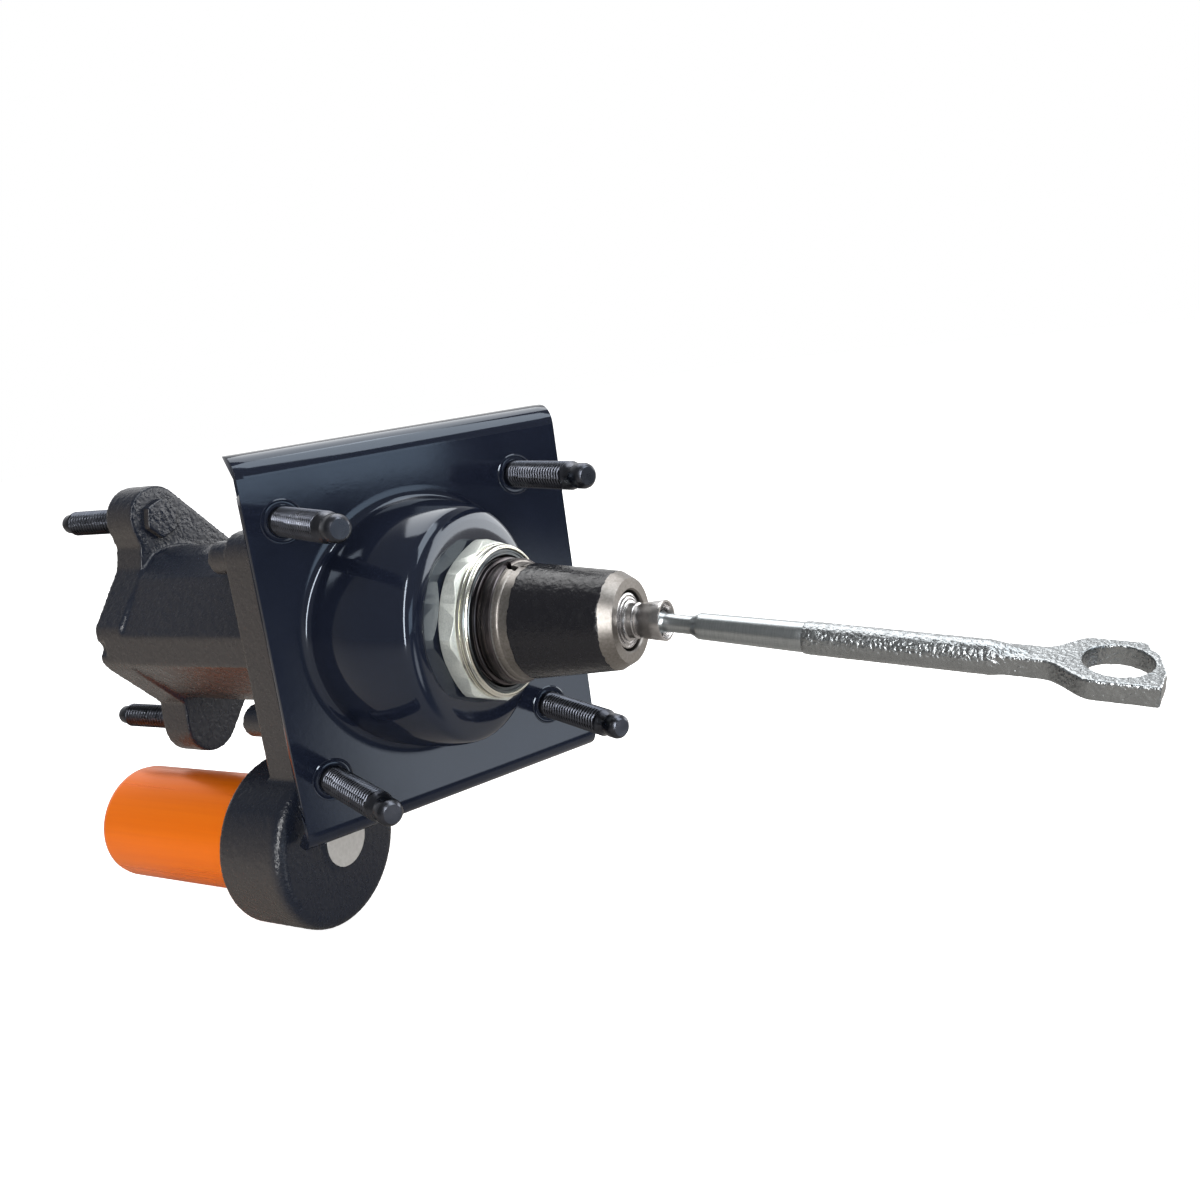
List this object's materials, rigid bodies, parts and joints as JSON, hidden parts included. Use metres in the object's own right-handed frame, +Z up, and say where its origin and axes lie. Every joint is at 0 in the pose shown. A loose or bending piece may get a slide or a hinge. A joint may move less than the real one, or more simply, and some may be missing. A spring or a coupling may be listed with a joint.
{
  "type": "hydraulic brake booster",
  "caption": "Hydraulic brake booster with a cast housing, gas accumulator, domed firewall bracket, clamping nut and a ball-jointed pushrod to the brake pedal.",
  "frame": {"origin": "middle of the four firewall studs, on the bracket's rear face", "axes": "+X to the right as seen from the pedal, +Y forward through the firewall, +Z up; the booster's own axis is yawed 26.2 degrees from +Y"},
  "size_m": [0.2053, 0.3583, 0.1705],
  "materials": {
    "bracket_paint": "gloss black paint over pressed steel",
    "stud_black": "black oxide thread",
    "nut_zinc": "pale yellowish zinc plating",
    "casting_black": "satin black paint on sand-cast iron",
    "bolt_black": "black phosphate",
    "can_orange": "orange anodised",
    "plain_aluminium": "turned",
    "steel": "turned steel",
    "rod_zinc": "bluish zinc plating",
    "spring_steel": "oiled spring steel",
    "rubber": "matt",
    "bronze": "sintered bronze",
    "brass": "turned",
    "plastic": "natural nylon"
  },
  "bodies": {
    "booster_body": {"mounting_bracket": "bracket_paint", "firewall_studs": "stud_black", "bracket_nut": "nut_zinc", "rear_cover": "casting_black", "cover_seal": "rubber", "cover_bolts": "bolt_black", "housing": "casting_black", "master_cylinder_studs": "stud_black", "accumulator_can": "can_orange", "accumulator_fill_plug": "plain_aluminium", "accumulator_retaining_ring": "spring_steel", "input_rod_bush": "bronze", "input_rod_seal": "rubber", "input_seal_washer": "steel", "return_spring": "spring_steel", "spool_sleeve": "steel", "spool_spring": "spring_steel", "spool_plug": "steel", "plug_o_ring": "rubber", "return_nipple": "rod_zinc", "port_seats": "brass"},
    "input_rod_body": {"input_rod": "steel"},
    "ball_liner_body": {"ball_liner": "plastic"},
    "pushrod_body": {"pedal_pushrod": "rod_zinc"},
    "piston_body": {"power_piston": "steel", "piston_seal": "rubber", "lever_pin": "steel", "output_rod": "steel", "output_rod_retainer": "spring_steel"},
    "lever_body": {"actuating_lever": "steel"},
    "follower_body": {"spool_follower": "steel"},
    "spool_body": {"spool_valve": "steel"},
    "accumulator_piston_body": {"accumulator_piston": "plain_aluminium", "accumulator_piston_ring": "rubber"}
  },
  "joints": [
    {"name": "pedal_stroke", "type": "slide", "parent": "booster_body", "child": "input_rod_body", "axis": [-0.4415, 0.8973, 0], "range_m": [0, 0.0254]},
    {"name": "piston_stroke", "type": "slide", "parent": "booster_body", "child": "piston_body", "axis": [-0.4415, 0.8973, 0], "range_m": [0, 0.025], "stiffness_N_per_m": 1500, "springref_m": -0.01, "deforming": ["return_spring"]},
    {"name": "lever_swing", "type": "hinge", "parent": "piston_body", "child": "lever_body", "pos_m": [-0.02705, 0.03685, 0], "axis": [0, 0, 1], "range_deg": [0, 2.9]},
    {"name": "follower_slide", "type": "slide", "parent": "booster_body", "child": "follower_body", "axis": [-0.4415, 0.8973, 0], "range_m": [0, 0.0273], "deforming": ["spool_spring"]},
    {"name": "spool_shift", "type": "slide", "parent": "booster_body", "child": "spool_body", "axis": [-0.4415, 0.8973, 0], "range_m": [0, 0.0015]},
    {"name": "accumulator_charge", "type": "slide", "parent": "booster_body", "child": "accumulator_piston_body", "axis": [-0.4415, 0.8973, 0], "range_m": [-0.0095, 0.045]},
    {"name": "pushrod_side_swing", "type": "hinge", "parent": "input_rod_body", "child": "ball_liner_body", "pos_m": [0.03664, -0.07447, 0], "axis": [0, 0, 1], "range_deg": [-5, 5]},
    {"name": "pushrod_tilt", "type": "hinge", "parent": "ball_liner_body", "child": "pushrod_body", "pos_m": [0.03664, -0.07447, 0], "axis": [-0.8973, -0.4415, 0], "range_deg": [-3, 13]}
  ],
  "couplings": [
    {"joint": "piston_stroke", "follows": "pedal_stroke", "ratio": 0.984},
    {"joint": "lever_swing", "follows": "pedal_stroke", "rad_per_m": 1.9},
    {"joint": "follower_slide", "follows": "pedal_stroke", "ratio": 1.0709},
    {"joint": "spool_shift", "follows": "pedal_stroke", "ratio": 0.059}
  ]
}
